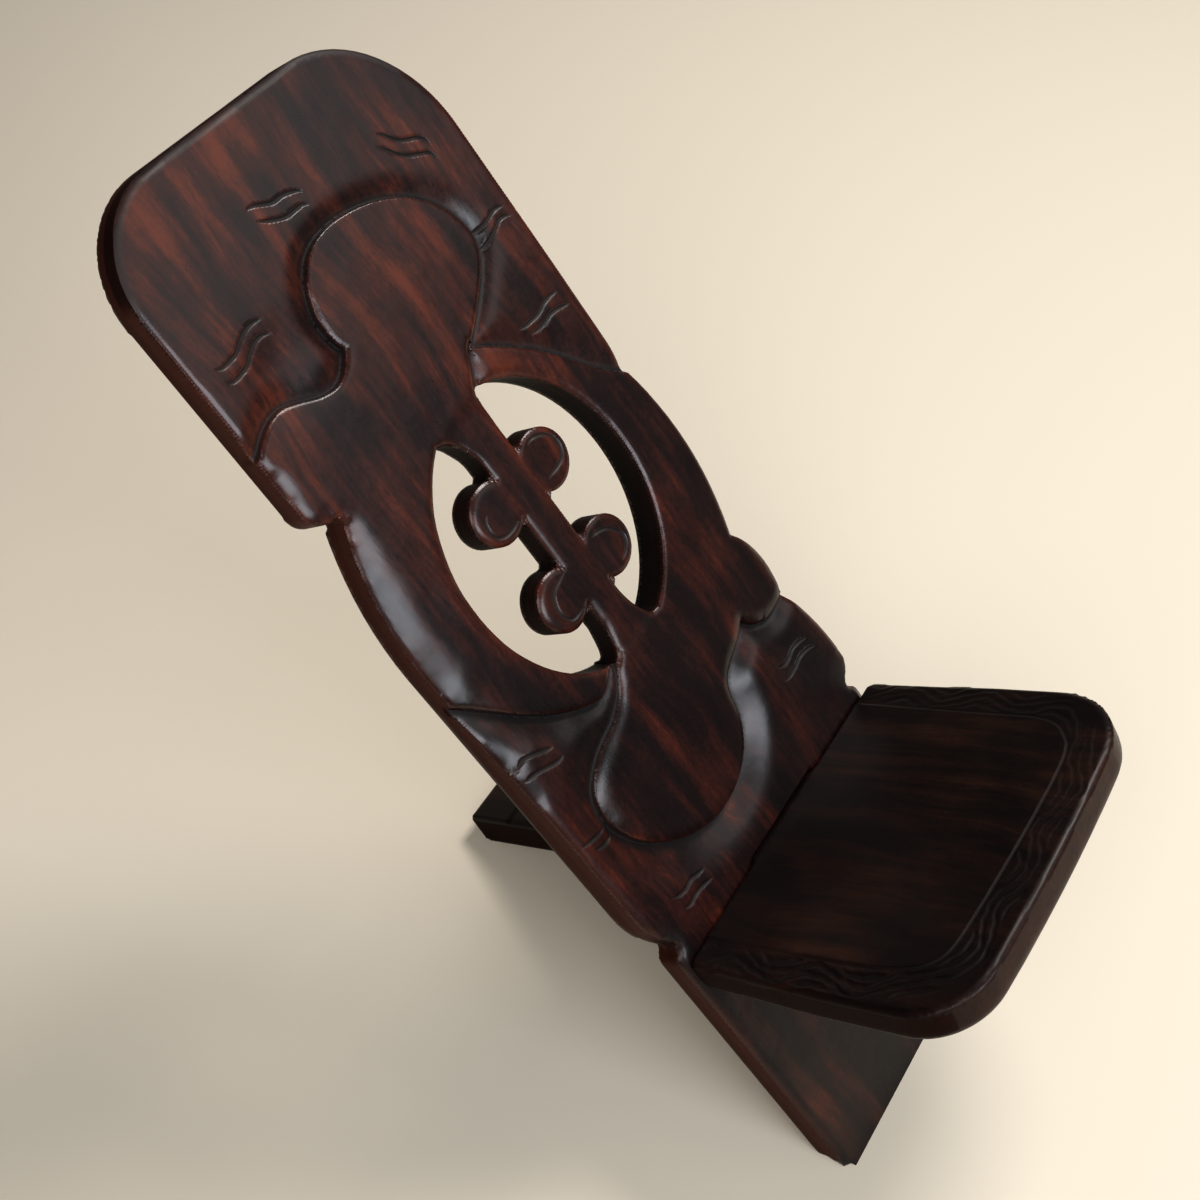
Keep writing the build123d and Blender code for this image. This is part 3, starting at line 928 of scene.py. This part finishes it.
# %% Helpers: nodes
def node(tree, kind, **sockets):
    """Adds a shader node. Names that are sockets are set or linked, and others are properties."""
    made = tree.nodes.new(kind)
    for name, value in sockets.items():
        name = name.replace("_", " ") if name.replace("_", " ") in made.inputs else name
        if name not in made.inputs:
            setattr(made, name, value)
        elif isinstance(value, bpy.types.NodeSocket):
            tree.links.new(value, made.inputs[name])
        else:
            made.inputs[name].default_value = value
    return made


def grain_noise(tree, place, scale, detail):
    """Noise in board coordinates, in cycles per metre across, along and through the board."""
    spread = node(tree, "ShaderNodeMapping", Vector=place, Scale=scale)
    stretched = spread.outputs["Vector"]
    made = node(tree, "ShaderNodeTexNoise", Vector=stretched, Scale=1.0, Detail=detail)
    made.inputs["Roughness"].default_value = 0.6
    return made.outputs["Fac"]


def fill(tree, socket, value):
    """Links a socket to another node's output, or sets it to a plain value."""
    if isinstance(value, bpy.types.NodeSocket):
        tree.links.new(value, socket)
    else:
        socket.default_value = value


def work_out(tree, operation, a, b):
    """One step of arithmetic between two values."""
    made = tree.nodes.new("ShaderNodeMath")
    made.operation = operation
    fill(tree, made.inputs[0], a)
    fill(tree, made.inputs[1], b)
    return made.outputs[0]


def blend_colours(tree, share, first, second):
    """Mixes two colours by a share between 0 and 1."""
    made = tree.nodes.new("ShaderNodeMix")
    made.data_type = "RGBA"
    fill(tree, made.inputs[0], share)
    fill(tree, made.inputs[6], first)
    fill(tree, made.inputs[7], second)
    return made.outputs[2]


def weighted(tree, parts):
    """The sum of values, each times its weight."""
    total = 0.0
    for value, weight in parts:
        total = work_out(tree, "ADD", work_out(tree, "MULTIPLY", value, weight), total)
    return total


# %% Waxed hardwood
def waxed_wood(name, mirror, place, shades, redness, wall_red, smoothest, streaks, painted_darkening):
    """Dark waxed hardwood whose grain runs along a board in the given place."""
    made = bpy.data.materials.new(name)
    made.use_nodes = True
    tree = made.node_tree
    shader = tree.nodes["Principled BSDF"]
    here = node(tree, "ShaderNodeTexCoord").outputs["Object"]
    turned = node(tree, "ShaderNodeMapping", Vector=here)
    turned.inputs["Rotation"].default_value = place.to_3x3().inverted().to_euler()
    board = turned.outputs["Vector"]

    # the grain wanders: the coordinates are pushed sideways by slow noise
    drift = node(tree, "ShaderNodeTexNoise", Vector=board, Scale=6.0, Detail=2.0)
    push = node(tree, "ShaderNodeVectorMath", operation="MULTIPLY_ADD")
    tree.links.new(drift.outputs["Color"], push.inputs[0])
    push.inputs[1].default_value = (0.035, 0.02, 0.02)
    tree.links.new(board, push.inputs[2])
    grain = push.outputs["Vector"]

    long_streaks = grain_noise(tree, grain, (streaks, 5, streaks), 5)
    fine_streaks = grain_noise(tree, grain, (streaks * 5, 16, streaks * 5), 4)
    patches = grain_noise(tree, grain, (17, 11, 17), 4)
    flecks = grain_noise(tree, board, (420, 230, 420), 2)
    pores = grain_noise(tree, board, (1100, 70, 900), 2)

    parts = ((long_streaks, 0.46), (patches, 0.3), (fine_streaks, 0.17), (flecks, 0.07))
    # painted light falloff: darker towards the board's foot, lighter towards its head
    height = node(tree, "ShaderNodeSeparateXYZ", Vector=board).outputs["Y"]
    painted_falloff = node(tree, "ShaderNodeMapRange", Value=height, From_Min=0.34, From_Max=0.74)
    painted_falloff.inputs["To Min"].default_value = -painted_darkening
    painted_falloff.inputs["To Max"].default_value = painted_darkening
    mixed = work_out(tree, "ADD", weighted(tree, parts), painted_falloff.outputs["Result"])
    ramp = node(tree, "ShaderNodeValToRGB", Fac=mixed).color_ramp
    ramp.elements[0].position, ramp.elements[0].color = shades[0]
    ramp.elements[1].position, ramp.elements[1].color = shades[-1]
    for position, colour in shades[1:-1]:
        ramp.elements.new(position).color = colour
    colour = tree.nodes["Color Ramp"].outputs["Color"]

    edge, worn, dark_cuts_and_shadow, shade = (
        node(tree, "ShaderNodeAttribute", attribute_name=note_name).outputs["Fac"]
        for note_name in ("edge", "worn", "dark_cuts_and_shadow", "shade")
    )
    colour = blend_colours(tree, work_out(tree, "MULTIPLY", edge, 0.88), colour, wall_red)
    # worn edges turn redder; on the seat's left crests this is partly a painted highlight
    rubbed_and_highlit = work_out(tree, "MULTIPLY", worn, work_out(tree, "MULTIPLY", fine_streaks, 0.8))
    colour = blend_colours(tree, rubbed_and_highlit, colour, redness)
    # the darkened cuts, the painted shadow and the painted shade turn nearly black
    black = work_out(tree, "MULTIPLY", work_out(tree, "MAXIMUM", dark_cuts_and_shadow, shade), 0.85)
    colour = blend_colours(tree, black, colour, (0.0028, 0.0008, 0.0006, 1))
    tree.links.new(colour, shader.inputs["Base Color"])

    dull = [(patches, 0.14), (flecks, 0.08), (dark_cuts_and_shadow, 0.45)]
    dull += [(edge, 0.25), (shade, 0.35), (worn, -0.05)]
    roughness = work_out(tree, "ADD", weighted(tree, dull), smoothest)
    tree.links.new(roughness, shader.inputs["Roughness"])
    shader.inputs["Specular IOR Level"].default_value = mirror

    tool = node(tree, "ShaderNodeTexNoise", Vector=board, Scale=42.0, Detail=2.0).outputs["Fac"]
    tool_marks = node(tree, "ShaderNodeBump", Height=tool, Strength=0.3, Distance=0.0012)
    pore_marks = node(tree, "ShaderNodeBump", Height=pores, Strength=0.15, Distance=0.0003)
    tree.links.new(tool_marks.outputs["Normal"], pore_marks.inputs["Normal"])
    tree.links.new(pore_marks.outputs["Normal"], shader.inputs["Normal"])
    return made


back_shades = [
    (0.40, (0.0050, 0.0026, 0.0026, 1)),
    (0.475, (0.0095, 0.0036, 0.0032, 1)),
    (0.54, (0.027, 0.0068, 0.0046, 1)),
    (0.62, (0.076, 0.0165, 0.0075, 1)),
]
back_look = {
    "place": back_place,
    "shades": back_shades,
    "redness": (0.075, 0.017, 0.008, 1),
    "wall_red": (0.036, 0.0042, 0.0008, 1),
    "smoothest": 0.19,
    "streaks": 38,
    # painted light falloff down the back board
    "painted_darkening": 0.032,
}
back_wood = waxed_wood("waxed_back", mirror=0.4, **back_look)
back_sawn = waxed_wood("sawn_back", mirror=0.12, **back_look)

seat_shades = [
    (0.40, (0.0022, 0.0008, 0.0006, 1)),
    (0.50, (0.0062, 0.0023, 0.0015, 1)),
    (0.57, (0.015, 0.0052, 0.0029, 1)),
    (0.64, (0.030, 0.0098, 0.0050, 1)),
]
seat_look = {
    "place": seat_place,
    "shades": seat_shades,
    "redness": (0.030, 0.010, 0.006, 1),
    "wall_red": (0.010, 0.0022, 0.0007, 1),
    "smoothest": 0.3,
    "streaks": 60,
    "painted_darkening": 0.0,
}
seat_wood = waxed_wood("waxed_seat", mirror=0.22, **seat_look)
seat_sawn = waxed_wood("sawn_seat", mirror=0.08, **seat_look)
print("woods:", back_wood.name, back_sawn.name, seat_wood.name, seat_sawn.name)

# %% [markdown]
# The finished boards go back from the bench to their places in the chair. Each one stands for
# its solid and moves with that solid's body, so the seat board still pulls out of its slot.
# No point is left outside the box of the solids, however the squares fell.

# %% Put the boards in place
def sawn_faces(piece, place):
    """1 for every triangle of a sawn wall, which takes no polish, and 0 for the others."""
    tilt_limit, dull_limit = 0.6, 0.6
    face = np.array(place.to_3x3())[:, 2]
    upright_walls = np.abs(centres_of(piece)[1] @ face) < tilt_limit
    edge, shade = np.empty((2, len(piece.data.vertices)), np.float32)
    piece.data.attributes["edge"].data.foreach_get("value", edge)
    piece.data.attributes["shade"].data.foreach_get("value", shade)
    corners = np.empty(len(piece.data.polygons) * 3, np.int32)
    piece.data.polygons.foreach_get("vertices", corners)
    dull = np.maximum(edge, shade)[corners].reshape(-1, 3).mean(1) > dull_limit
    return (dull & upright_walls).astype(np.int32)


for piece, wood, sawn, place, node_name, body, finish in (
    (carved_back, back_wood, back_sawn, back_place, "back_board", "back", "carved_hardwood"),
    (carved_seat, seat_wood, seat_sawn, seat_place, "seat_board", "seat", "seat_hardwood"),
):
    piece.data.transform(place)
    put_points(piece, np.clip(points_of(piece), *cad_box))
    piece.data.materials.append(wood)
    piece.data.materials.append(sawn)
    piece.data.polygons.foreach_set("material_index", sawn_faces(piece, place))
    alone(piece)
    bpy.ops.object.shade_smooth_by_angle(angle=radians(80))
    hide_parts(node_name)
    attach(piece, body)
    piece.data.calc_loop_triangles()
    print(piece.name, "rides on", body, "with", len(piece.data.loop_triangles), "triangles")
